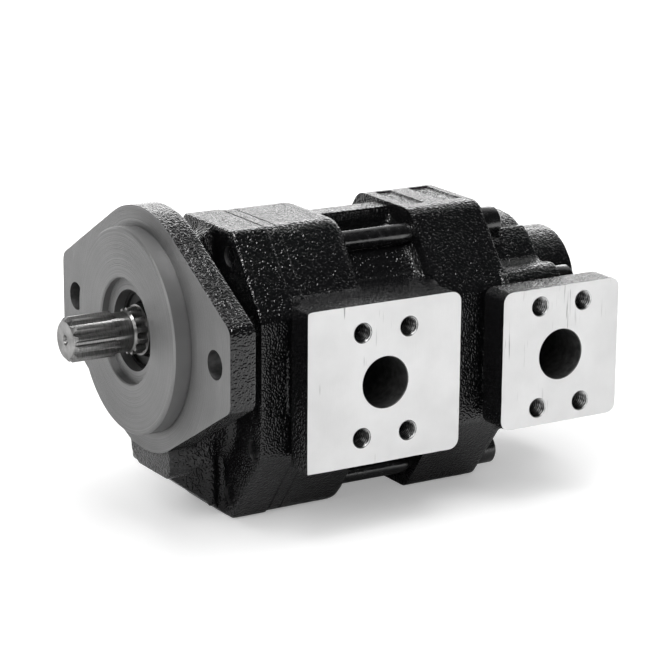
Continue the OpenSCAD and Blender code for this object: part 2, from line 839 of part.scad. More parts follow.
module shaft_seal() {
    r0 = bush_bore_d / 2;
    r1 = shaft_seal_d / 2;
    color(black_rubber) translate([shaft_seal_x, 0, 0]) rotate([0, 90, 0]) rotate_extrude()
        polygon([[r0 + 1.5, 0], [r1, 0], [r1, shaft_seal_l], [r1 - 2, shaft_seal_l], [r1 - 2, 2],
            [r0 + 2.2, 2], [r0 + 1.8, 3.6], [r0 + 1.8, 6.5], [r0 + 0.6, 6.5], [r0, 4.5]]);
}

module seal_spring() {
    color(bright_steel) translate([shaft_seal_x + 5, 0, 0]) rotate([0, 90, 0]) rotate_extrude()
        translate([bush_bore_d / 2 + 2.7, 0]) circle(0.85);
}

module seal_retaining_ring() {
    ring_x = shaft_seal_x - ring_groove_w + 0.1;
    r = shaft_seal_d / 2 - 1.6;
    color(dark_steel) difference() {
        along_x(ring_x, ring_x + 1.5) {
            difference() {
                circle(ring_groove_d / 2 - 0.05);
                circle(r);
                polygon([[0, 0], polar(ring_groove_d, 82), polar(ring_groove_d, 98)]);
            }
            for (a = [75, 105]) translate(polar(r - 0.3, a)) circle(2);
        }
        for (a = [75, 105]) rod(ring_x - 1, ring_x + 3, 1.8, polar(r - 0.6, a));
    }
}

module interstage_seal() {
    color(black_rubber)
        tube(joint_2 - interstage_l + 0.1, joint_2 - 0.1, interstage_d, stub_d + 2 * running_fit);
}

module cover_seal() {
    color(black_rubber) along_x(joint_1 - groove_depth, joint_1) seal_ring_outline(seal_squeeze);
}

module joint_seal() {
    color(black_rubber) along_x(joint_2 - groove_depth, joint_2) seal_ring_outline(seal_squeeze);
}

module block_seal(x0) {
    along_x(x0, x0 + 1.5) block_seal_outline(seal_squeeze);
}

module fore_block_seal() {
    color(black_rubber) block_seal(joint_1);
}

module aft_block_seal() {
    color(black_rubber) block_seal(front_chamber_end - 1.5);
}

module rear_block_seal() {
    color(black_rubber) block_seal(carrier_end);
}

// Fasteners

module dowel_pair(x) {
    for (y = [-1, 1]) {
        at = [y * dowel_y, mid_z];
        rod(x - dowel_l / 2 + 1, x + dowel_l / 2 - 1, dowel_d, at);
        taper(x - dowel_l / 2, x - dowel_l / 2 + 1, dowel_d - 1.6, dowel_d, at);
        taper(x + dowel_l / 2 - 1, x + dowel_l / 2, dowel_d, dowel_d - 1.6, at);
    }
}

module cover_dowels() {
    color(bright_steel) dowel_pair(joint_1);
}

module joint_dowels() {
    color(bright_steel) dowel_pair(joint_2);
}

// Bolt shank whose tip is chamfered
module shank(x1, at) {
    taper(bolt_tip_x, bolt_tip_x + 1.5, bolt_d - 2.4, bolt_d, at);
    rod(bolt_tip_x + 1.5, x1, bolt_d, at);
}

// Socket-head bolts whose heads bear on the face at x
module socket_bolts(places, x) {
    chamfer = 1;
    socket_depth = 0.5 * bolt_d;
    color(dark_steel) for (at = places) difference() {
        union() {
            shank(x, at);
            rod(x, x + socket_head_h - chamfer, socket_head_d, at);
            taper(x + socket_head_h - chamfer, x + socket_head_h, socket_head_d, socket_head_d - 2 * chamfer, at);
        }
        translate([x + socket_head_h - socket_depth, at[0], at[1]]) rotate([0, 90, 0])
            cylinder(h = socket_depth + 1, d = 0.8 * bolt_d / cos(30), $fn = 6);
    }
}

module short_tie_bolts() {
    socket_bolts(short_bolts, rear_block_end);
}

module long_tie_bolts() {
    socket_bolts(long_bolts, back_x);
}

front_cover();
front_housing();
rear_housing();
drive_shaft();
coupling_sleeve();
rear_drive_gear();
front_driven_gear();
rear_driven_gear();
fore_bearing_block();
aft_bearing_block();
rear_bearing_block();
centre_carrier();
rear_wear_plate();
cover_bush();
fore_block_bushes();
aft_block_bushes();
rear_block_bushes();
end_bushes();
shaft_seal();
seal_spring();
seal_retaining_ring();
interstage_seal();
cover_seal();
joint_seal();
fore_block_seal();
aft_block_seal();
rear_block_seal();
cover_dowels();
joint_dowels();
short_tie_bolts();
long_tie_bolts();
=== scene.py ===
import json
import math

import bmesh
import bpy
from mathutils import Matrix, Vector


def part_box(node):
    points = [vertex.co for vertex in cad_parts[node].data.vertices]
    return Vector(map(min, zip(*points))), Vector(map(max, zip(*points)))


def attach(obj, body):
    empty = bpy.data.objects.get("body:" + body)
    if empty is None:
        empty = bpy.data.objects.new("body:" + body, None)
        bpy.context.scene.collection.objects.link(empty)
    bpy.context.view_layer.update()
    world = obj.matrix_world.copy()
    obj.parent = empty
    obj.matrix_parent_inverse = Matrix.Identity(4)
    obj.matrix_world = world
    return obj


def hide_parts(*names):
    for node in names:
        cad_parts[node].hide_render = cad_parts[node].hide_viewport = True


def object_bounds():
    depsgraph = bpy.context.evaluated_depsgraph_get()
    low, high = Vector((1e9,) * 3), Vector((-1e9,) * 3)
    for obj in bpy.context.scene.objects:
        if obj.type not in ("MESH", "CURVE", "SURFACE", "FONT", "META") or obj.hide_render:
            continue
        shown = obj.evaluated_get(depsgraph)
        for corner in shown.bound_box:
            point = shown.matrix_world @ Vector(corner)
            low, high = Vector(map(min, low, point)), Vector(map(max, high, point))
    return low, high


bl_info = {
    "name": "Tandem Gear Pump",
    "version": (1, 0, 0),
    "blender": (4, 5, 0),
    "location": "View3D > Sidebar > Gear Pump",
    "description": "Cast skins, machined faces, threads and studio for a tandem gear pump",
    "category": "Add Mesh",
}

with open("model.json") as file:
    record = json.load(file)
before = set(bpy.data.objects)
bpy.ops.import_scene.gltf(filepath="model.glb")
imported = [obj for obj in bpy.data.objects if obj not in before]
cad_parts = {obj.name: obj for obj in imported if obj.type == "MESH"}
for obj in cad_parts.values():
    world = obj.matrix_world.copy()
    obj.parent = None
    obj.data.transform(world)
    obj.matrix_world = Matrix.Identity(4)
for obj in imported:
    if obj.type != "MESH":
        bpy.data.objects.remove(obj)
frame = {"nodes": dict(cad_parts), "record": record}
cad_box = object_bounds()

# The pump's sizes are in millimetres. Depths of finishes and sizes of the studio are in metres.
MM = 0.001

# Stations along the shaft
PILOT_FRONT = -9.4
FLANGE_FACE = 0.0
FLANGE_BACK = 14.0
COVER_FACE = 36.0
JOINT_1 = 55.2
FRONT_BLOCK_END = 98.0
FRONT_CHAMBER_END = 128.0
JOINT_2 = 137.3
REAR_BLOCK_END = 180.0
REAR_CHAMBER_END = 203.5
BACK_FACE = 210.0

# Flange: pilot, bolt holes as (y, z), and the slanted rims from their start outwards
PILOT_R = 50.8
FLANGE_BOLTS = [(-73.025, 0), (73.025, 0)]
FLANGE_HOLE_R = 7.15
RIM_START_Y = 30.25
RIM_START_Z = 52.4
RIM_END_Y = 87.6
RIM_SLOPE = math.radians(30)

# Outline of the blocks: half sizes are measured from its middle at BLOCK_Z
BLOCK_Z = -23.8
BLOCK_TOP = 49.0
BLOCK_HALF_HEIGHT = 72.8
BLOCK_HALF_TOP = 24.0
BLOCK_HALF_SIDE = 34.4
SIDE_Y = 53.0
SIDE_CORNER_R = 5.0
COVER_CORNER_R = 4.0
HOUSING_CORNER_R = 11.0

# How far the outline's corners slide along its faces when it moves outwards by one
TOP_CORNER_SLIDE = math.tan(math.radians(26.5))
SIDE_CORNER_SLIDE = 0.5

# Tie bolts and dowels as (y, z), and the sizes of their holes and of the space of the heads
SHORT_BOLTS = [(y, z) for y in (-22.0, 22.0) for z in (36.5, 2 * BLOCK_Z - 36.5)]
LONG_BOLTS = [(y, z) for y in (-45.5, 45.5) for z in (7.2, 2 * BLOCK_Z - 7.2)]
ALL_BOLTS = SHORT_BOLTS + LONG_BOLTS
COVER_BOLT_R = 5.05
HOUSING_BOLT_R = 5.5
HEAD_SPACE_R = 8.8
HEAD_SPACE_LENGTH = 12.0
LOW_Z = -43.2
DOWELS = [(-44, LOW_Z / 2), (44, LOW_Z / 2)]
DOWEL_R = 4.0
DOWEL_DEPTH = 8.0

# Bores on the gear axes, which are at z = 0 and LOW_Z
GEAR_BORE_R = 25.25
END_BORE_R = 14.5
END_BORE_DEPTH = 28.0
PASSAGE_R = 10.6
SEAL_POCKET_R = 16.0
SEAL_POCKET_DEPTH = 6.0

# Ports: bore radius, bolt pattern along x and z, tapping radius and pitch of its holes
OUTLET = (12.7, 26.2, 52.4, 4.25, 1.5)
INLET = (19.05, 35.7, 69.85, 5.1, 1.75)
PORT_Z = -21.6
PORT_DEPTH = 38.0
TAPPED_DEPTH = 16.0

# Pads: x of the port, distance of the face from the shaft axis, side and port
FRONT_PAD_Y = 73.7
REAR_PAD_Y = 75.0
FRONT_PORTS = [(93.0, FRONT_PAD_Y, -1, OUTLET), (93.0, FRONT_PAD_Y, 1, INLET)]
REAR_PORTS = [(195.6, REAR_PAD_Y, -1, OUTLET), (195.6, REAR_PAD_Y, 1, OUTLET)]

# Rough castings: how far they stand proud where they are machined, how far the bars that fill
# their holes reach into that, how much wider than the holes the bars are, how far they stop
# short of a rough face, and the radii of some of them
STOCK = 3.0
PLUG_REACH = STOCK - 0.1
PLUG_MARGIN = 1.5
PLUG_GAP = 0.2
SHAFT_PLUG_R = 22.0
FLANGE_PLUG_R = 9.0
BOLT_PLUG_R = 7.0
DOWEL_PLUG_R = 6.0

# How far a cutter runs out of a face, and how deep the line at the first joint is
OVERRUN = 5.0
SEAM_DEPTH = 0.5

# Distances in metres within which vertices are one, and lie on a named plane
SAME_PLACE = 1e-6
SAME_PLANE = 2e-6

# Numbers of the Mix node's sockets
MIX_A, MIX_B = 2, 3
MIX_COLOUR_A, MIX_COLOUR_B, MIX_COLOUR_RESULT = 6, 7, 2


# Mesh helpers

def new_object(name, mesh):
    """Object in the scene that holds a mesh."""
    piece = bpy.data.objects.new(name, mesh)
    bpy.context.scene.collection.objects.link(piece)
    return piece


def finished_mesh(bm, name, finish):
    """Closes a bmesh into a mesh with one finish."""
    bmesh.ops.recalc_face_normals(bm, faces=bm.faces)
    mesh = bpy.data.meshes.new(name)
    bm.to_mesh(mesh)
    bm.free()
    mesh.materials.append(finish())
    return mesh


def revolved(outline, finish, at=(0.0, 0.0), segments=128, along="x"):
    """Turned solid: outline is (x, r) points, and at is its axis as (y, z), or (x, z) along y."""
    bm = bmesh.new()
    rows = []
    for x, r in outline:
        if r == 0:
            rows.append([bm.verts.new((x, at[0], at[1]))])
            continue
        row = []
        for i in range(segments):
            a = 2 * math.pi * i / segments
            row.append(bm.verts.new((x, at[0] + r * math.cos(a), at[1] + r * math.sin(a))))
        rows.append(row)
    closed = outline[0][1] > 0
    pairs = list(zip(rows, rows[1:])) + ([(rows[-1], rows[0])] if closed else [])
    for row_a, row_b in pairs:
        for i in range(segments):
            j = (i + 1) % segments
            corners = [row_a[i % len(row_a)], row_b[i % len(row_b)]]
            if len(row_b) > 1:
                corners.append(row_b[j])
            if len(row_a) > 1:
                corners.append(row_a[j])
            bm.faces.new(corners)
    turn = Matrix.Identity(4)
    if along == "y":
        turn = Matrix(((0, 1, 0, 0), (1, 0, 0, 0), (0, 0, 1, 0), (0, 0, 0, 1)))
    bmesh.ops.transform(bm, matrix=Matrix.Scale(MM, 4) @ turn, verts=bm.verts)
    return finished_mesh(bm, "turned", finish)


def drill(x0, x1, r, at=(0.0, 0.0), finish=None, segments=64):
    """Round bar along X from x0 to x1 on the axis at (y, z)."""
    return revolved([(x0, 0), (x0, r), (x1, r), (x1, 0)], finish or drilled_iron, at, segments)


def bores(places, x0, x1, r):
    """Round bars along X at several (y, z) places."""
    return [drill(x0, x1, r, at, segments=40) for at in places]


def twin_bars(x0, x1, r, finish=None):
    """Round bars on both gear axes."""
    return [drill(x0, x1, r, (0, z), finish) for z in (0, LOW_Z)]


def box(low, high, finish=None):
    """Block between two corners."""
    bm = bmesh.new()
    bmesh.ops.create_cube(bm, size=1)
    size = Vector(high) - Vector(low)
    middle = (Vector(high) + Vector(low)) / 2
    place = Matrix.Translation(middle) @ Matrix.Diagonal((*size, 1))
    bmesh.ops.transform(bm, matrix=place, verts=bm.verts)
    bmesh.ops.transform(bm, matrix=Matrix.Scale(MM, 4), verts=bm.verts)
    return finished_mesh(bm, "block", finish or milled_iron)


def facing(x0, x1, finish=None, half_width=100.0):
    """Block that mills a casting away between two stations."""
    return box((x0, -half_width, -130), (x1, half_width, 90), finish)


def gouge(at, along, length, width, depth):
    """Long shallow hollow, centred on a point of the surface and running along a direction."""
    bm = bmesh.new()
    bmesh.ops.create_uvsphere(bm, u_segments=16, v_segments=10, radius=1)
    run = Vector(along).normalized()
    across = Vector((1, 0, 0))
    out = run.cross(across)
    turn = Matrix((run, across, out)).transposed().to_4x4()
    shape = Matrix.Diagonal((length / 2, width / 2, depth, 1))
    place = Matrix.Scale(MM, 4) @ Matrix.Translation(at) @ turn @ shape
    bmesh.ops.transform(bm, matrix=place, verts=bm.verts)
    return finished_mesh(bm, "gouge", painted_casting)


def applied(piece, name):
    """The piece's evaluated mesh, with the working object removed."""
    depsgraph = bpy.context.evaluated_depsgraph_get()
    mesh = bpy.data.meshes.new_from_object(piece.evaluated_get(depsgraph), depsgraph=depsgraph)
    mesh.name = name
    bpy.data.objects.remove(piece)
    if not mesh.polygons:
        raise RuntimeError(f"nothing is left of {name}")
    return mesh


def machined(mesh, cutters, name):
    """Takes every cutter away from a closed mesh. Cut faces keep the cutter's finish."""
    work = new_object("work", mesh)
    tools = []
    for i, cutter in enumerate(cutters):
        tool = new_object(f"tool{i}", cutter)
        tools.append(tool)
        step = work.modifiers.new(f"cut{i}", "BOOLEAN")
        step.operation = "DIFFERENCE"
        step.solver = "MANIFOLD"
        step.material_mode = "TRANSFER"
        step.object = tool
    result = applied(work, name)
    for tool in tools:
        bpy.data.objects.remove(tool)
    return result


# Node helpers

def set_inputs(tree, node, inputs):
    """Links each named or numbered input to a socket, or sets it to a value."""
    for key, value in inputs.items():
        if isinstance(value, bpy.types.NodeSocket):
            tree.links.new(value, node.inputs[key])
        else:
            node.inputs[key].default_value = value


def add_node(tree, kind, inputs=None, **settings):
    """New node with its settings and inputs."""
    node = tree.nodes.new(kind)
    for key, value in settings.items():
        setattr(node, key, value)
    set_inputs(tree, node, inputs or {})
    return node


def calc(tree, operation, *values):
    """Result of arithmetic on values or sockets."""
    return add_node(tree, "ShaderNodeMath", dict(enumerate(values)), operation=operation).outputs[0]


def vector_calc(tree, operation, *values):
    """Node of arithmetic on vectors or sockets."""
    return add_node(tree, "ShaderNodeVectorMath", dict(enumerate(values)), operation=operation)


def climb(tree, value, start, end, low=0.0, high=1.0):
    """Level that runs from low to high while the value runs from start to end."""
    limits = {"Value": value, "From Min": start, "From Max": end, "To Min": low, "To Max": high}
    return add_node(tree, "ShaderNodeMapRange", limits).outputs[0]


def noise(tree, where, scale, detail=2.0, roughness=0.5):
    """Random pattern in space."""
    inputs = {"Vector": where, "Scale": scale, "Detail": detail, "Roughness": roughness}
    return add_node(tree, "ShaderNodeTexNoise", inputs).outputs["Fac"]


# Geometry trees

def geometry_tree(name, inputs):
    """Geometry tree with named inputs, its finish last, and its input and output nodes."""
    tree = bpy.data.node_groups.new(name, "GeometryNodeTree")
    tree.interface.new_socket("Geometry", in_out="INPUT", socket_type="NodeSocketGeometry")
    tree.interface.new_socket("Geometry", in_out="OUTPUT", socket_type="NodeSocketGeometry")
    for key, value in inputs.items():
        kind = "NodeSocketInt" if isinstance(value, int) else "NodeSocketFloat"
        tree.interface.new_socket(key, in_out="INPUT", socket_type=kind).default_value = value
    tree.interface.new_socket("Finish", in_out="INPUT", socket_type="NodeSocketMaterial")
    return tree, tree.nodes.new("NodeGroupInput"), tree.nodes.new("NodeGroupOutput")


def end_tree(tree, geometry, start, end):
    """Makes a tree's result real and gives it the finish."""
    real = add_node(tree, "GeometryNodeRealizeInstances", {0: geometry})
    finished = add_node(tree, "GeometryNodeSetMaterial",
                        {"Geometry": real.outputs[0], "Material": start.outputs["Finish"]})
    tree.links.new(finished.outputs[0], end.inputs[0])


def run_tree(piece, tree, values):
    """Runs a geometry tree on a piece, with its inputs set by their identifiers."""
    step = piece.modifiers.new(tree.name, "NODES")
    step.node_group = tree
    for item in tree.interface.items_tree:
        if item.item_type == "SOCKET" and item.in_out == "INPUT" and item.name in values:
            step[item.identifier] = values[item.name]


def sand_cast_tree():
    """Geometry tree that gives a smooth form the swells and the grain of a sand mould."""
    tree, start, end = geometry_tree("Sand Cast Skin", {
        "Swell Depth": 0.0002, "Swell Scale": 45.0, "Grain Depth": 0.0002, "Grain Scale": 260.0})
    position = add_node(tree, "GeometryNodeInputPosition").outputs[0]
    layers = []
    for layer in ("Swell", "Grain"):
        centred = calc(tree, "SUBTRACT", noise(tree, position, start.outputs[f"{layer} Scale"]), 0.5)
        layers.append(calc(tree, "MULTIPLY", centred, start.outputs[f"{layer} Depth"]))
    normal = add_node(tree, "GeometryNodeInputNormal").outputs[0]
    push = add_node(tree, "ShaderNodeVectorMath", {0: normal, "Scale": calc(tree, "ADD", *layers)},
                    operation="SCALE")
    move = add_node(tree, "GeometryNodeSetPosition",
                    {"Geometry": start.outputs[0], "Offset": push.outputs[0]})
    end_tree(tree, move.outputs[0], start, end)
    return tree


def thread_tree():
    """Geometry tree of the round cutter that leaves a thread in a hole."""
    tree, start, end = geometry_tree("Thread Cutter", {
        "Radius": 0.0043, "Thread Depth": 0.0007, "Pitch": 0.0015, "Length": 0.019, "Rings": 64})
    bar = add_node(tree, "GeometryNodeMeshCylinder", {
        "Vertices": 40, "Radius": start.outputs["Radius"], "Depth": start.outputs["Length"],
        "Side Segments": start.outputs["Rings"]})
    place = add_node(tree, "GeometryNodeInputPosition").outputs[0]
    split = add_node(tree, "ShaderNodeSeparateXYZ", {0: place})
    angle = calc(tree, "ARCTAN2", split.outputs["Y"], split.outputs["X"])
    turns = calc(tree, "DIVIDE", angle, 2 * math.pi)
    pitches = calc(tree, "DIVIDE", split.outputs["Z"], start.outputs["Pitch"])
    ridge = calc(tree, "PINGPONG", calc(tree, "ADD", pitches, turns), 0.5)
    share = calc(tree, "DIVIDE", start.outputs["Thread Depth"], start.outputs["Radius"])
    factor = calc(tree, "MULTIPLY_ADD", calc(tree, "MULTIPLY", ridge, 2.0), share, 1.0)
    wide = add_node(tree, "ShaderNodeCombineXYZ", {"X": factor, "Y": factor, "Z": 1.0})
    moved = vector_calc(tree, "MULTIPLY", place, wide.outputs[0])
    cut = add_node(tree, "GeometryNodeSetPosition",
                   {"Geometry": bar.outputs["Mesh"], "Position": moved.outputs[0]})
    end_tree(tree, cut.outputs[0], start, end)
    return tree


def thread_cutter(radius, pitch, length, place):
    """Cutter of a tapped hole: radius is the tapping radius, and place a matrix."""
    work = new_object("thread", bpy.data.meshes.new("thread"))
    run_tree(work, bpy.data.node_groups.get("Thread Cutter") or thread_tree(), {
        "Radius": radius * MM,
        "Thread Depth": 0.5 * pitch * MM,
        "Pitch": pitch * MM,
        "Length": length * MM,
        "Rings": round(5 * length / pitch),
        "Finish": tapped_iron(),
    })
    mesh = applied(work, "thread")
    mesh.transform(place)
    return mesh


# From CAD node to piece

def cast_form(node, grown, plugs, settings):
    """Rough casting of a CAD node: machined faces stand proud, holes are filled, and edges are soft.

    grown lists (axis, plane, growth), and plugs the meshes that fill the holes.
    """
    low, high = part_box(node)
    room_low = list(low)
    room_high = list(high)
    bm = bmesh.new()
    bm.from_mesh(frame["nodes"][node].data)
    bmesh.ops.remove_doubles(bm, verts=bm.verts, dist=SAME_PLACE)
    for axis, plane, growth in grown:
        for vert in bm.verts:
            if abs(vert.co[axis] - plane * MM) < SAME_PLANE:
                vert.co[axis] += growth * MM
        room_low[axis] = min(room_low[axis], (plane + growth) * MM)
        room_high[axis] = max(room_high[axis], (plane + growth) * MM)
    for plug in plugs:
        bm.from_mesh(plug)
    mesh = bpy.data.meshes.new(node)
    bm.to_mesh(mesh)
    bm.free()
    work = new_object(node + "_rough", mesh)
    remesh = work.modifiers.new("remesh", "REMESH")
    remesh.mode = "VOXEL"
    remesh.voxel_size = settings.voxel
    remesh.use_smooth_shade = True
    smooth = work.modifiers.new("smooth", "SMOOTH")
    smooth.iterations = settings.edge_passes
    smooth.factor = 0.5
    run_tree(work, bpy.data.node_groups.get("Sand Cast Skin") or sand_cast_tree(), {
        "Swell Depth": settings.swell_depth,
        "Grain Depth": settings.grain_depth,
        "Finish": painted_casting(),
    })
    mesh = applied(work, node + "_rough")
    for vert in mesh.vertices:
        for axis in range(3):
            vert.co[axis] = min(max(vert.co[axis], room_low[axis]), room_high[axis])
    return mesh


def casting_piece(name, mesh, node):
    """Turns a finished mesh into the piece that stands for a casting's CAD node."""
    mesh.shade_smooth()
    mesh.set_sharp_from_angle(angle=math.radians(32))
    piece = new_object(name, mesh)
    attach(piece, "pump")
    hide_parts(node)


def softened_piece(node, finish, width):
    """Piece with broken edges that stands for a turned or milled CAD node."""
    bm = bmesh.new()
    bm.from_mesh(frame["nodes"][node].data)
    bmesh.ops.remove_doubles(bm, verts=bm.verts, dist=SAME_PLACE)
    bmesh.ops.dissolve_limit(bm, angle_limit=math.radians(1), verts=bm.verts, edges=bm.edges)
    work = new_object("work", finished_mesh(bm, node, finish))
    bevel = work.modifiers.new("bevel", "BEVEL")
    bevel.width = width * MM
    bevel.segments = 2
    bevel.limit_method = "ANGLE"
    bevel.angle_limit = math.radians(28)
    mesh = applied(work, node + "_detail")
    mesh.shade_smooth()
    mesh.set_sharp_from_angle(angle=math.radians(30))
    piece = new_object(node + "_detail", mesh)
    bodies = frame["record"]["behaviour"]["bodies"]
    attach(piece, next(body for body, names in bodies.items() if node in names))
    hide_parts(node)


# Materials

def material(name):
    """Existing material of that name, or a new one with its tree and its shader node."""
    found = bpy.data.materials.get(name)
    if found:
        return found, None, None
    made = bpy.data.materials.new(name)
    made.use_nodes = True
    tree = made.node_tree
    return made, tree, tree.nodes["Principled BSDF"]


def object_coordinates(tree, scale=(1, 1, 1), rotation=(0, 0, 0)):
    """Place on the object, stretched and turned."""
    coordinates = add_node(tree, "ShaderNodeTexCoord")
    inputs = {"Vector": coordinates.outputs["Object"], "Scale": scale, "Rotation": rotation}
    return add_node(tree, "ShaderNodeMapping", inputs).outputs[0]


def bump(tree, height, distance, below=None):
    """Relief from a pattern, on top of the relief below it."""
    inputs = {"Height": height, "Distance": distance}
    if below is not None:
        inputs["Normal"] = below
    return add_node(tree, "ShaderNodeBump", inputs).outputs[0]


def ramp(tree, factor, stops):
    """Colour ramp from (position, grey level or colour) stops."""
    node = add_node(tree, "ShaderNodeValToRGB", {"Fac": factor})
    elements = node.color_ramp.elements
    for element, (position, value) in zip(elements, stops, strict=True):
        element.position = position
        rgb = value if isinstance(value, tuple) else (value, value, value)
        element.color = (*rgb, 1)
    return node.outputs["Color"]


def tinted(colour, factor):
    """Darker or lighter shade of a colour."""
    return tuple(c * factor for c in colour)


def axis_radius(tree, where):
    """Distance from the shaft axis at a point."""
    flat = vector_calc(tree, "MULTIPLY", where, (0, 1, 1))
    return vector_calc(tree, "LENGTH", flat.outputs[0]).outputs["Value"]


def rings(tree, value, scale, detail=2.0):
    """Random rings or lines that follow a value."""
    inputs = {"W": value, "Scale": scale, "Detail": detail}
    return add_node(tree, "ShaderNodeTexNoise", inputs, noise_dimensions="1D").outputs["Fac"]


def painted_casting():
    """Glossy black paint that has run smooth over sand-cast iron."""
    made, tree, shader = material("painted_casting")
    if tree is None:
        return made
    paint = bpy.context.scene.pump_finish
    where = object_coordinates(tree)
    grain = noise(tree, where, 1000.0, 0.0)
    lumps = noise(tree, where, 620.0, roughness=0.6)
    patches = noise(tree, where, 38.0)
    low = tinted(paint.paint_colour, 0.75)
    high = tinted(paint.paint_colour, 1.4)
    fine = bump(tree, grain, paint.grain_bump * 2.6)
    set_inputs(tree, shader, {
        "Base Color": ramp(tree, lumps, [(0.3, low), (0.7, high)]),
        "Roughness": ramp(tree, patches, [(0.35, 0.06), (0.65, 0.14)]),
        "Normal": bump(tree, lumps, paint.grain_bump * 1.5, below=fine),
        "Specular IOR Level": paint.paint_gloss,
    })
    return made


def painted_steel():
    """The same paint over the smooth shanks and heads of the bolts."""
    made, tree, shader = material("painted_steel")
    if tree is None:
        return made
    paint = bpy.context.scene.pump_finish
    ripple = noise(tree, object_coordinates(tree), 350.0, 3.0)
    low = tinted(paint.paint_colour, 0.8)
    high = tinted(paint.paint_colour, 1.6)
    set_inputs(tree, shader, {
        "Base Color": ramp(tree, ripple, [(0.3, low), (0.7, high)]),
        "Roughness": ramp(tree, ripple, [(0.35, 0.16), (0.65, 0.28)]),
        "Normal": bump(tree, ripple, 0.00012),
        "Specular IOR Level": 0.75,
    })
    return made


def turned_iron():
    """Iron faced on a lathe, with rings round the shaft axis."""
    made, tree, shader = material("turned_iron")
    if tree is None:
        return made
    where = object_coordinates(tree)
    fine = rings(tree, axis_radius(tree, where), 1500.0)
    cloud = noise(tree, where, 60.0, 4.0)
    mixed = add_node(tree, "ShaderNodeMix", {"Factor": 0.35, MIX_A: fine, MIX_B: cloud}, data_type="FLOAT")
    marks = bump(tree, rings(tree, axis_radius(tree, where), 4000.0, 0.0), 0.00012)
    set_inputs(tree, shader, {
        "Base Color": ramp(tree, mixed.outputs[0], [(0.3, 0.15), (0.7, 0.215)]),
        "Normal": bump(tree, fine, 0.00005, below=marks),
        "Metallic": 0.6,
        "Roughness": 0.42,
    })
    return made


def milled_iron():
    """Iron pad faces, milled, left bright and a little scratched."""
    made, tree, shader = material("milled_iron")
    if tree is None:
        return made
    place = object_coordinates(tree)
    tone = ramp(tree, noise(tree, place, 45.0, 5.0), [(0.3, 0.67), (0.7, 0.76)])
    slanting = object_coordinates(tree, scale=(1, 1, 0.05), rotation=(0, math.radians(25), 0))
    line = climb(tree, noise(tree, slanting, 900.0, 1.0), 0.66, 0.72)
    area = climb(tree, noise(tree, place, 60.0, 1.0), 0.56, 0.68)
    tones = {"Factor": calc(tree, "MULTIPLY", line, area), MIX_COLOUR_A: tone,
             MIX_COLOUR_B: (0.36, 0.36, 0.36, 1)}
    marked_tone = add_node(tree, "ShaderNodeMix", tones, data_type="RGBA")
    drawn = noise(tree, object_coordinates(tree, scale=(1, 1, 0.12)), 1400.0)
    set_inputs(tree, shader, {
        "Base Color": marked_tone.outputs[MIX_COLOUR_RESULT],
        "Normal": bump(tree, drawn, 0.00003),
        "Metallic": 0.25,
        "Roughness": 0.5,
    })
    return made


def tapped_iron():
    """Flanks of the tapped holes, with a painted highlight on the crests and painted shade in the roots.
    """
    made, tree, shader = material("tapped_iron")
    if tree is None:
        return made
    band = 0.0015
    where = object_coordinates(tree)
    cloud = noise(tree, where, 500.0, 3.0)
    depth = add_node(tree, "ShaderNodeSeparateXYZ", {0: where}).outputs["Y"]
    # Bands along the hole, one per thread pitch: a painted highlight on the crests and painted shade in
    # the roots, laid over a random cloud of tone
    painted_thread_shading = calc(tree, "SINE", calc(tree, "MULTIPLY", depth, 2 * math.pi / band))
    marked_tone = calc(tree, "MULTIPLY_ADD", painted_thread_shading, 0.35, cloud)
    set_inputs(tree, shader, {
        "Base Color": ramp(tree, marked_tone, [(0.25, 0.04), (0.8, 0.55)]),
        "Normal": bump(tree, cloud, 0.00005),
        "Metallic": 1.0,
        "Roughness": 0.38,
    })
    return made


def plain_finish(name, low, high, roughness, scale, metallic=1.0, stretch=(1, 1, 1), detail=3.0,
                 depth=0.00003):
    """Finish whose tone runs between two greys or colours in a fine pattern."""
    made, tree, shader = material(name)
    if tree is None:
        return made
    grain = noise(tree, object_coordinates(tree, scale=stretch), scale, detail)
    set_inputs(tree, shader, {
        "Base Color": ramp(tree, grain, [(0.3, low), (0.7, high)]),
        "Normal": bump(tree, grain, depth),
        "Metallic": metallic,
        "Roughness": roughness,
    })
    return made


def drilled_iron():
    """Bored iron with a film of oil, darkened as painted shade for the inside of the holes."""
    # The low greys are painted shade: every bore is darkened as if it lay in the shade of its hole
    return plain_finish("drilled_iron", 0.05, 0.11, 0.5, 300.0, metallic=0.7, depth=0.0001)


def ground_steel():
    """Turned and ground shaft steel, with rings along the shaft."""
    return plain_finish("ground_shaft_steel", (0.14, 0.139, 0.137), (0.26, 0.258, 0.255), 0.33, 500.0,
                        stretch=(4, 0.4, 0.4))


def black_oxide():
    """Black-oxide fastener steel."""
    return plain_finish("black_oxide", 0.035, 0.07, 0.32, 600.0, metallic=0.8)


def alloy():
    """Machined aluminium alloy."""
    return plain_finish("machined_alloy", (0.55, 0.55, 0.54), (0.68, 0.68, 0.66), 0.35, 300.0)


def bearing_bronze():
    """Bored bearing bronze."""
    return plain_finish("bearing_bronze", (0.50, 0.33, 0.15), (0.62, 0.43, 0.21), 0.35, 500.0)


def nitrile():
    """Moulded seal rubber."""
    return plain_finish("nitrile", 0.015, 0.03, 0.6, 900.0, metallic=0.0, detail=2.0, depth=0.00002)


# Settings

class PumpCasting(bpy.types.PropertyGroup):
    voxel: bpy.props.FloatProperty(
        name="Mesh Size", description="Face size of the cast skins",
        default=0.0011, min=0.0008, unit="LENGTH")
    edge_passes: bpy.props.IntProperty(
        name="Edge Passes", description="Smoothing passes that round the cast edges",
        default=4, min=0)
    swell_depth: bpy.props.FloatProperty(
        name="Swell Depth", description="Depth of the slow swells of a cast wall",
        default=0.0004, unit="LENGTH")
    grain_depth: bpy.props.FloatProperty(
        name="Grain Depth", description="Depth of the sand grain",
        default=0.00025, unit="LENGTH")


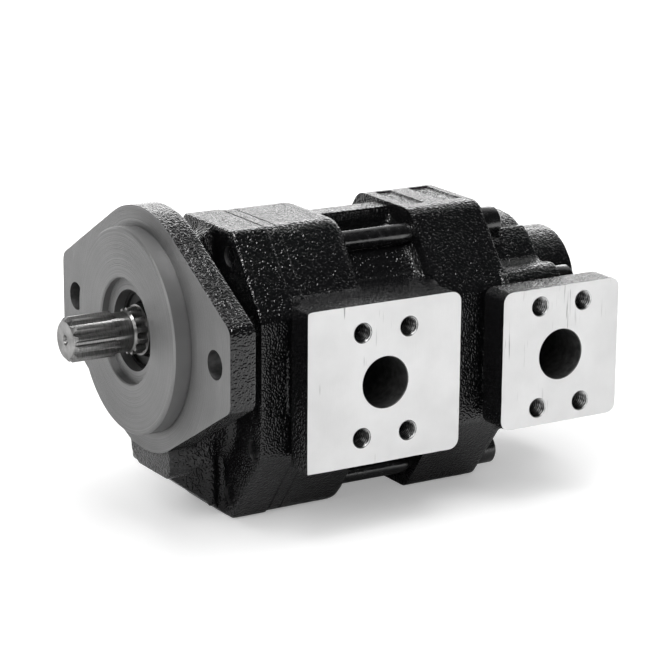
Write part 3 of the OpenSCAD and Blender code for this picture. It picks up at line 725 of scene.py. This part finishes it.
class PumpFinish(bpy.types.PropertyGroup):
    paint_colour: bpy.props.FloatVectorProperty(
        name="Paint", description="Colour of the paint",
        subtype="COLOR", default=(0.0040, 0.0040, 0.0044))
    paint_gloss: bpy.props.FloatProperty(
        name="Paint Gloss", description="Strength of the paint's reflections",
        default=0.4, min=0, max=1)
    grain_bump: bpy.props.FloatProperty(
        name="Grain Bump", description="Depth of the finest grain under the paint",
        default=0.0002, unit="LENGTH")


class PumpStudio(bpy.types.PropertyGroup):
    camera_place: bpy.props.FloatVectorProperty(
        name="Camera", description="Where the camera stands",
        subtype="TRANSLATION", unit="LENGTH", default=(-0.55622, -1.09072, 0.33439))
    camera_azimuth: bpy.props.FloatProperty(
        name="Azimuth", description="Turn of the camera round the pump",
        subtype="ANGLE", default=math.radians(-31.355))
    camera_elevation: bpy.props.FloatProperty(
        name="Elevation", description="How far the camera looks down",
        subtype="ANGLE", default=math.radians(15.385))
    camera_roll: bpy.props.FloatProperty(
        name="Roll", description="Tilt of the picture",
        subtype="ANGLE", default=math.radians(0.44))
    focal_length: bpy.props.FloatProperty(
        name="Focal Length", description="Lens on a 36 mm sensor, in millimetres", default=141.17)
    floor_colour: bpy.props.FloatVectorProperty(
        name="Floor", description="Colour of the floor",
        subtype="COLOR", default=(0.85, 0.85, 0.85))
    fill: bpy.props.FloatProperty(
        name="Fill", description="Strength of the soft light from all sides", default=0.5, min=0)


# Plugs and cutters of the castings

def hole_places(x, span_x, span_z):
    """Places (x, z) of a port's four tapped holes."""
    return [(x + i * span_x / 2, PORT_Z + k * span_z / 2) for i in (-1, 1) for k in (-1, 1)]


def cross_bar(start, end, r, at, segments=128):
    """Painted bar along Y at (x, z)."""
    return revolved([(start, 0), (start, r), (end, r), (end, 0)], painted_casting, at, segments, along="y")


def port_plugs(ports):
    """Bars that fill the ports and tapped holes of a rough casting."""
    plugs = []
    for x, face, side, (bore_r, span_x, span_z, hole_r, _) in ports:
        outer = side * (face + PLUG_REACH)
        inner = side * (face - TAPPED_DEPTH - 2)
        plugs.append(cross_bar(0, outer, bore_r + PLUG_MARGIN, (x, PORT_Z)))
        for at in hole_places(x, span_x, span_z):
            plugs.append(cross_bar(inner, outer, hole_r + PLUG_MARGIN, at, segments=32))
    return plugs


def port_cutters(ports):
    """Milling of the pad faces, stepped port bores and threaded holes."""
    cutters = []
    length = TAPPED_DEPTH + 0.5
    mouth = 0.9
    for x, face, side, (bore_r, span_x, span_z, hole_r, pitch) in ports:
        low, high = sorted((side * face, side * (face + 2 * STOCK)))
        cutters.append(box((x - 60, low, PORT_Z - 70), (x + 60, high, PORT_Z + 70)))
        step = side * (face - PORT_DEPTH)
        outside = side * (face + 1)
        profile = [(0, 0), (0, 0.7 * bore_r), (step, 0.7 * bore_r), (step, bore_r),
                   (side * (face - 0.4), bore_r), (side * (face + 0.1), bore_r + 0.5),
                   (outside, bore_r + 0.5), (outside, 0)]
        cutters.append(revolved(profile, drilled_iron, (x, PORT_Z), along="y"))
        for at_x, at_z in hole_places(x, span_x, span_z):
            middle = Vector((at_x, side * (face + 0.5 - length / 2), at_z)) * MM
            place = Matrix.Translation(middle) @ Matrix.Rotation(math.pi / 2, 4, "X")
            cutters.append(thread_cutter(hole_r, pitch, length, place))
            cone = [(side * (face - mouth), 0), (side * (face - mouth), hole_r),
                    (side * face, hole_r + mouth), (outside, hole_r + mouth), (outside, 0)]
            cutters.append(revolved(cone, tapped_iron, (at_x, at_z), along="y", segments=48))
    return cutters


def rounded_points(points, radii, steps=6):
    """Convex outline with its own radius at each corner."""
    result = []
    for i, corner in enumerate(points):
        here = Vector(corner)
        before = (Vector(points[i - 1]) - here).normalized()
        after = (Vector(points[(i + 1) % len(points)]) - here).normalized()
        half = before.angle(after) / 2
        centre = here + (before + after).normalized() * radii[i] / math.sin(half)
        start = (here + before * radii[i] / math.tan(half) - centre).normalized()
        end = (here + after * radii[i] / math.tan(half) - centre).normalized()
        for k in range(steps + 1):
            result.append(centre + radii[i] * start.slerp(end, k / steps))
    return result


def block_points(shift, corner_r):
    """Outline of the blocks as (y, z), moved outwards by shift."""
    y0 = BLOCK_HALF_TOP + shift * TOP_CORNER_SLIDE
    z0 = BLOCK_HALF_HEIGHT + shift
    y1 = SIDE_Y + shift
    z1 = BLOCK_HALF_SIDE + shift * SIDE_CORNER_SLIDE
    corners = [(y0, z0), (-y0, z0), (-y1, z1), (-y1, -z1), (-y0, -z0), (y0, -z0), (y1, -z1), (y1, z1)]
    radii = 2 * [corner_r, corner_r, SIDE_CORNER_R, SIDE_CORNER_R]
    moved = [max(r + shift, 0.5) for r in radii]
    return [(y, BLOCK_Z + z) for y, z in rounded_points(corners, moved)]


def seam(x, depth, corner_r):
    """Ring that cuts a fine V-shaped line round a block at x."""
    flat = 0.15
    reach = 3.0
    inner = block_points(-depth, corner_r)
    outer = block_points(reach, corner_r)
    bm = bmesh.new()
    loops = []
    for side in (-1, 1):
        for points, half in ((outer, flat + reach + depth), (inner, flat)):
            loops.append([bm.verts.new(((x + side * half) * MM, y * MM, z * MM)) for y, z in points])
    for i in range(len(inner)):
        j = (i + 1) % len(inner)
        for a, b in ((0, 1), (1, 3), (3, 2), (2, 0)):
            bm.faces.new((loops[a][i], loops[a][j], loops[b][j], loops[b][i]))
    return finished_mesh(bm, "seam", painted_casting)


def sunk_panel(low, high, axis, face, depth):
    """Cutter of a plain sunk panel with sloping sides.

    low and high are the corners of its floor in the two other axes, and depth points out of the face.
    """
    draft = 0.8
    rise = math.copysign(abs(depth) * 4, depth)
    bm = bmesh.new()
    ends = []
    for level, grow in ((face - depth, 0.0), (face - depth + rise, 4 * draft)):
        end = []
        for a, b in ((0, 0), (1, 0), (1, 1), (0, 1)):
            point = [(low, high)[a][0] + (2 * a - 1) * grow, (low, high)[b][1] + (2 * b - 1) * grow]
            point.insert(axis, level)
            end.append(bm.verts.new(Vector(point) * MM))
        ends.append(end)
        bm.faces.new(end)
    for i in range(4):
        j = (i + 1) % 4
        bm.faces.new((ends[0][i], ends[0][j], ends[1][j], ends[1][i]))
    return finished_mesh(bm, "panel", painted_casting)


def turned_front():
    """Everything that the lathe takes away in front of the flange, outside the pilot."""
    chamfer = 0.9
    undercut = -1.2
    undercut_r = PILOT_R - 0.7
    outline = [(-60, 0), (-60, 150), (FLANGE_FACE, 150), (FLANGE_FACE, undercut_r), (undercut, undercut_r),
               (undercut, PILOT_R), (PILOT_FRONT + chamfer, PILOT_R), (PILOT_FRONT, PILOT_R - chamfer),
               (PILOT_FRONT, 0)]
    return revolved(outline, turned_iron, segments=192)


def shaft_bore():
    """Recess, seal seat with its ring groove, and bush bore of the front cover."""
    recess_r, recess_end = 26.0, -5.4
    seat_r, seat_end = 20.0, 9.6
    groove_r, groove_start, groove_end = 21.2, -0.1, 1.6
    passage_r, passage_end = 14.0, 30.2
    bush_r = 14.5
    mouth = 0.6
    outline = [(-20, 0), (-20, recess_r + mouth), (PILOT_FRONT, recess_r + mouth),
               (PILOT_FRONT + mouth, recess_r), (recess_end, recess_r), (recess_end, seat_r),
               (groove_start, seat_r), (groove_start, groove_r), (groove_end, groove_r),
               (groove_end, seat_r), (seat_end, seat_r), (seat_end, passage_r), (passage_end, passage_r),
               (passage_end, bush_r), (60, bush_r), (60, 0)]
    return revolved(outline, turned_iron)


def rim_gouges():
    """Hollows that the mould left in the slanted rims of the flange."""
    marks = []
    for side, share, length, width in ((-1, 0.22, 11, 3.0), (-1, 0.40, 15, 3.4), (-1, 0.60, 6, 2.2),
                                       (-1, 0.78, 13, 4.0), (1, 0.30, 12, 3.2), (1, 0.66, 9, 2.6)):
        out = share * (RIM_END_Y - RIM_START_Y)
        place = (7.5, side * (RIM_START_Y + out), RIM_START_Z - out * math.tan(RIM_SLOPE))
        down_rim = (0, side * math.cos(RIM_SLOPE), -math.sin(RIM_SLOPE))
        marks.append(gouge(place, down_rim, length, width, 0.7))
    return marks


# Castings

class PUMP_OT_front_cover(bpy.types.Operator):
    """Flange, pilot, neck and block of the front cover"""
    bl_idname = "pump.front_cover"
    bl_label = "Front Cover"

    def execute(self, context):
        end = JOINT_1 + PLUG_REACH
        pilot_plug = drill(PILOT_FRONT - 2.8, 3, PILOT_R + 3.2)
        seal_groove_plug = box((50, -34, -80.3), (end, 34, 33.5))
        dowel_plug = box((44, -49, -27), (end, 49, -16))
        plugs = [pilot_plug, drill(FLANGE_FACE, end, SHAFT_PLUG_R)]
        plugs += [drill(-PLUG_REACH, FLANGE_BACK - 0.1, FLANGE_PLUG_R, at) for at in FLANGE_BOLTS]
        plugs += bores(ALL_BOLTS, COVER_FACE + 0.3, end, BOLT_PLUG_R)
        plugs += [seal_groove_plug, dowel_plug]
        grown = [(0, PILOT_FRONT, -STOCK), (0, FLANGE_FACE, -STOCK), (0, JOINT_1, STOCK)]
        rough = cast_form("front_cover", grown, plugs, context.scene.pump_casting)
        cutters = [
            turned_front(),
            facing(JOINT_1, JOINT_1 + 20),
            shaft_bore(),
            sunk_panel((42.1, -36.5), (50.5, -5.8), 1, -SIDE_Y, -0.9),
            seam(JOINT_1, SEAM_DEPTH, COVER_CORNER_R),
        ]
        cutters += [drill(-10, 20, FLANGE_HOLE_R, at) for at in FLANGE_BOLTS]
        cutters += bores(ALL_BOLTS, COVER_FACE - 3, 60, COVER_BOLT_R)
        cutters += rim_gouges()
        finished = machined(rough, cutters, "front_cover_casting")
        casting_piece("front_cover_casting", finished, "front_cover")
        return {"FINISHED"}


class PUMP_OT_front_housing(bpy.types.Operator):
    """Front gear housing with its outlet and inlet pads"""
    bl_idname = "pump.front_housing"
    bl_label = "Front Housing"

    def execute(self, context):
        start = JOINT_1 - PLUG_REACH
        end = JOINT_2 + PLUG_REACH
        plugs = twin_bars(start, end, GEAR_BORE_R + PLUG_MARGIN)
        plugs += bores(ALL_BOLTS, start, FRONT_BLOCK_END - PLUG_GAP, BOLT_PLUG_R)
        plugs += bores(LONG_BOLTS, start, end, BOLT_PLUG_R)
        plugs += bores(DOWELS, start, end, DOWEL_PLUG_R)
        plugs += port_plugs(FRONT_PORTS)
        grown = [(0, JOINT_1, -STOCK), (0, JOINT_2, STOCK),
                 (1, -FRONT_PAD_Y, -STOCK), (1, FRONT_PAD_Y, STOCK)]
        rough = cast_form("front_housing", grown, plugs, context.scene.pump_casting)
        front = JOINT_1 - OVERRUN
        back = JOINT_2 + OVERRUN
        between_pads = SIDE_Y + 4.9
        cutters = [
            facing(30, JOINT_1, painted_casting, between_pads),
            facing(JOINT_2, JOINT_2 + 20, painted_casting),
            seam(JOINT_1, SEAM_DEPTH, HOUSING_CORNER_R),
            seam(JOINT_1 + 6.7, 0.35, HOUSING_CORNER_R),
            drill(FRONT_CHAMBER_END - 1, back, PASSAGE_R),
            drill(JOINT_2 - SEAL_POCKET_DEPTH, back, SEAL_POCKET_R),
        ]
        cutters += twin_bars(front, FRONT_CHAMBER_END, GEAR_BORE_R, turned_iron)
        cutters += bores(ALL_BOLTS, front, back, HOUSING_BOLT_R)
        cutters += bores(DOWELS, front, JOINT_1 + DOWEL_DEPTH, DOWEL_R)
        cutters += port_cutters(FRONT_PORTS)
        finished = machined(rough, cutters, "front_housing_casting")
        casting_piece("front_housing_casting", finished, "front_housing")
        return {"FINISHED"}


class PUMP_OT_rear_housing(bpy.types.Operator):
    """Rear gear housing with its two pads and closed back end"""
    bl_idname = "pump.rear_housing"
    bl_label = "Rear Housing"

    def execute(self, context):
        start = JOINT_2 - PLUG_REACH
        plugs = twin_bars(start, REAR_CHAMBER_END + 1, GEAR_BORE_R + PLUG_MARGIN)
        plugs += twin_bars(REAR_CHAMBER_END - 3.5, REAR_CHAMBER_END + END_BORE_DEPTH + 0.5,
                           END_BORE_R + PLUG_MARGIN)
        plugs += bores(SHORT_BOLTS, start, REAR_BLOCK_END - PLUG_GAP, BOLT_PLUG_R)
        plugs += bores(LONG_BOLTS, start, BACK_FACE - PLUG_GAP, BOLT_PLUG_R)
        plugs += bores(DOWELS, start, JOINT_2 + 10, DOWEL_PLUG_R)
        plugs += port_plugs(REAR_PORTS)
        grown = [(0, JOINT_2, -STOCK), (1, -REAR_PAD_Y, -STOCK), (1, REAR_PAD_Y, STOCK)]
        rough = cast_form("rear_housing", grown, plugs, context.scene.pump_casting)
        front = JOINT_2 - OVERRUN
        cutters = [facing(JOINT_2 - 20, JOINT_2, painted_casting)]
        cutters += twin_bars(front, REAR_CHAMBER_END, GEAR_BORE_R, turned_iron)
        cutters += twin_bars(REAR_CHAMBER_END - 1, REAR_CHAMBER_END + END_BORE_DEPTH, END_BORE_R)
        for bolts, seat in ((SHORT_BOLTS, REAR_BLOCK_END), (LONG_BOLTS, BACK_FACE)):
            cutters += bores(bolts, front, seat + OVERRUN, HOUSING_BOLT_R)
            cutters += bores(bolts, seat, seat + HEAD_SPACE_LENGTH, HEAD_SPACE_R)
        cutters += bores(DOWELS, front, JOINT_2 + DOWEL_DEPTH, DOWEL_R)
        for at, size in ((7, 8), (27, 10.2)):
            panel_start = JOINT_2 + at
            cutters.append(sunk_panel((panel_start, -13.5), (panel_start + size, 17.5), 2, BLOCK_TOP, 0.9))
        cutters += port_cutters(REAR_PORTS)
        finished = machined(rough, cutters, "rear_housing_casting")
        casting_piece("rear_housing_casting", finished, "rear_housing")
        return {"FINISHED"}


# Other parts

class PUMP_OT_inner_parts(bpy.types.Operator):
    """Finishes of the gears, blocks, bushes and seals"""
    bl_idname = "pump.inner_parts"
    bl_label = "Inner Parts"

    def execute(self, context):
        finishes = {"ground_steel": ground_steel, "dark_steel": black_oxide, "alloy": alloy,
                    "bronze": bearing_bronze, "rubber": nitrile, "black_casting": painted_casting}
        for part in frame["record"]["subparts"]:
            node = frame["nodes"][part["node"]]
            node.data.materials.clear()
            node.data.materials.append(finishes[part["material_slot"]]())
        return {"FINISHED"}


class PUMP_OT_shaft(bpy.types.Operator):
    """Drive shaft with broken edges"""
    bl_idname = "pump.shaft"
    bl_label = "Drive Shaft"

    def execute(self, context):
        softened_piece("drive_shaft", ground_steel, 0.25)
        return {"FINISHED"}


class PUMP_OT_fasteners(bpy.types.Operator):
    """Tie bolts with broken edges, painted like the castings"""
    bl_idname = "pump.fasteners"
    bl_label = "Tie Bolts"

    def execute(self, context):
        for node in ("short_tie_bolts", "long_tie_bolts"):
            softened_piece(node, painted_steel, 0.5)
        return {"FINISHED"}


# Studio

class PUMP_OT_studio(bpy.types.Operator):
    """Floor, light and camera"""
    bl_idname = "pump.studio"
    bl_label = "Studio"

    def execute(self, context):
        studio = context.scene.pump_studio
        add_floor(studio)
        light_world(context.scene, studio)
        add_softbox("key", place=(-0.9, -0.9, 1.1), size=(1.0, 1.0), power=9)
        add_softbox("left", place=(-1.4, -0.2, 0.5), size=(0.8, 1.2), power=4)
        top = add_softbox("top", place=(0.2, -0.1, 1.4), size=(1.3, 0.9), power=11)
        top.visible_glossy = False
        glint = add_softbox("glint", place=(-0.2, -0.15, 1.2), size=(0.45, 0.45), power=16)
        glint.visible_diffuse = False
        add_softbox("back", place=(1.05, 1.8, 0.62), size=(1.9, 0.8), power=13)
        add_camera(studio)
        context.scene.view_settings.view_transform = "Standard"
        return {"FINISHED"}


def ray_kinds(tree):
    """Sockets that are one for the camera's own rays, and for rays that leave metal, gloss or glass."""
    path = add_node(tree, "ShaderNodeLightPath").outputs
    return path["Is Camera Ray"], calc(tree, "MAXIMUM", path["Is Glossy Ray"], path["Is Transmission Ray"])


def reach_along(tree, where, direction):
    """How far a point lies in a direction."""
    return vector_calc(tree, "DOT_PRODUCT", where, direction).outputs["Value"]


def add_floor(studio):
    """Pale floor, white to the camera and, away from the pump, in reflections too. Near the pump it stays
    dark in reflections as painted shade, except for patches ahead of and left of it that glow as painted
    light.
    """
    half = 12
    z = cad_box[0].z
    mesh = bpy.data.meshes.new("floor")
    corners = [(-half, -half, z), (half, -half, z), (half, half, z), (-half, half, z)]
    mesh.from_pydata(corners, [], [(0, 1, 2, 3)])
    made, tree, shader = material("floor")
    camera_ray, reflected = ray_kinds(tree)
    place = object_coordinates(tree)
    distance = vector_calc(tree, "LENGTH", place).outputs["Value"]
    # Glow seen only in reflections: none round and under the pump, a painted shade, and glowing patches
    # ahead and to the left, painted light
    far = climb(tree, distance, 0.8, 2.0)
    ahead = climb(tree, reach_along(tree, place, (0.4, -0.92, 0)), 0.1, 0.3)
    left = climb(tree, reach_along(tree, place, (-1, 0, 0)), 0.12, 0.3)
    bright = calc(tree, "MAXIMUM", far, calc(tree, "MAXIMUM", ahead, left))
    mirrored = calc(tree, "MULTIPLY", reflected, bright)
    plain = calc(tree, "MULTIPLY", camera_ray, climb(tree, distance, 0.3, 2.0, low=0.3))
    set_inputs(tree, shader, {
        "Base Color": (*studio.floor_colour, 1),
        "Roughness": 0.9,
        "Specular IOR Level": 0.1,
        "Emission Color": (1, 1, 1, 1),
        "Emission Strength": calc(tree, "MAXIMUM", plain, mirrored),
    })
    mesh.materials.append(made)
    floor = new_object("floor", mesh)


def light_world(scene, studio):
    """White where it is seen directly, a white backdrop in reflections, and a soft fill otherwise."""
    world = bpy.data.worlds.new("studio")
    scene.world = world
    world.use_nodes = True
    tree = world.node_tree
    camera_ray, reflected = ray_kinds(tree)
    heading = add_node(tree, "ShaderNodeTexCoord").outputs["Generated"]
    backdrop = climb(tree, reach_along(tree, heading, (0.48, 0.84, 0.25)), 0.45, 0.8, low=0.03)
    fill = add_node(tree, "ShaderNodeMix", {"Factor": reflected, MIX_A: studio.fill, MIX_B: backdrop},
                    data_type="FLOAT")
    set_inputs(tree, tree.nodes["Background"], {
        "Color": (1, 1, 1, 1),
        "Strength": calc(tree, "MAXIMUM", camera_ray, fill.outputs[0]),
    })


def add_softbox(name, place, size, power):
    """Rectangular lamp that faces the middle of the pump."""
    lamp = bpy.data.lights.new(name, "AREA")
    lamp.shape = "RECTANGLE"
    lamp.size, lamp.size_y = size
    lamp.energy = power
    lamp_object = bpy.data.objects.new(name, lamp)
    bpy.context.scene.collection.objects.link(lamp_object)
    lamp_object.location = place
    pump_middle = Vector((0.09, 0, -0.02))
    aim = pump_middle - Vector(place)
    lamp_object.rotation_euler = aim.to_track_quat("-Z", "Y").to_euler()
    return lamp_object


def add_camera(studio):
    """Camera of the studio's settings."""
    lens = bpy.data.cameras.new("camera")
    lens.sensor_width = 36
    lens.lens = studio.focal_length
    lens.clip_start = 0.05
    lens.clip_end = 60
    camera = bpy.data.objects.new("camera", lens)
    bpy.context.scene.collection.objects.link(camera)
    turn = Matrix.Rotation(studio.camera_azimuth, 4, "Z")
    tilt = Matrix.Rotation(math.pi / 2 - studio.camera_elevation, 4, "X")
    roll = Matrix.Rotation(studio.camera_roll, 4, "Z")
    camera.matrix_world = Matrix.Translation(studio.camera_place) @ turn @ tilt @ roll
    bpy.context.scene.camera = camera


class PUMP_PT_panel(bpy.types.Panel):
    """Pump pieces and their settings"""
    bl_label = "Gear Pump"
    bl_idname = "PUMP_PT_panel"
    bl_space_type = "VIEW_3D"
    bl_region_type = "UI"
    bl_category = "Gear Pump"

    def draw(self, context):
        for group in GROUPS:
            settings = getattr(context.scene, group)
            for name in settings.__annotations__:
                self.layout.prop(settings, name)
        for step in STEPS:
            self.layout.operator(step.bl_idname)


STEPS = (PUMP_OT_inner_parts, PUMP_OT_front_cover, PUMP_OT_front_housing, PUMP_OT_rear_housing,
         PUMP_OT_shaft, PUMP_OT_fasteners, PUMP_OT_studio)
GROUPS = {"pump_casting": PumpCasting, "pump_finish": PumpFinish, "pump_studio": PumpStudio}


def register():
    for name, group in GROUPS.items():
        bpy.utils.register_class(group)
        setattr(bpy.types.Scene, name, bpy.props.PointerProperty(type=group))
    for step in STEPS:
        bpy.utils.register_class(step)
    bpy.utils.register_class(PUMP_PT_panel)


def unregister():
    bpy.utils.unregister_class(PUMP_PT_panel)
    for step in reversed(STEPS):
        bpy.utils.unregister_class(step)
    for name, group in reversed(GROUPS.items()):
        delattr(bpy.types.Scene, name)
        bpy.utils.unregister_class(group)


def main():
    register()
    bpy.ops.pump.inner_parts()
    bpy.ops.pump.front_cover()
    bpy.ops.pump.front_housing()
    bpy.ops.pump.rear_housing()
    bpy.ops.pump.shaft()
    bpy.ops.pump.fasteners()
    bpy.ops.pump.studio()


if __name__ == "__main__":
    main()
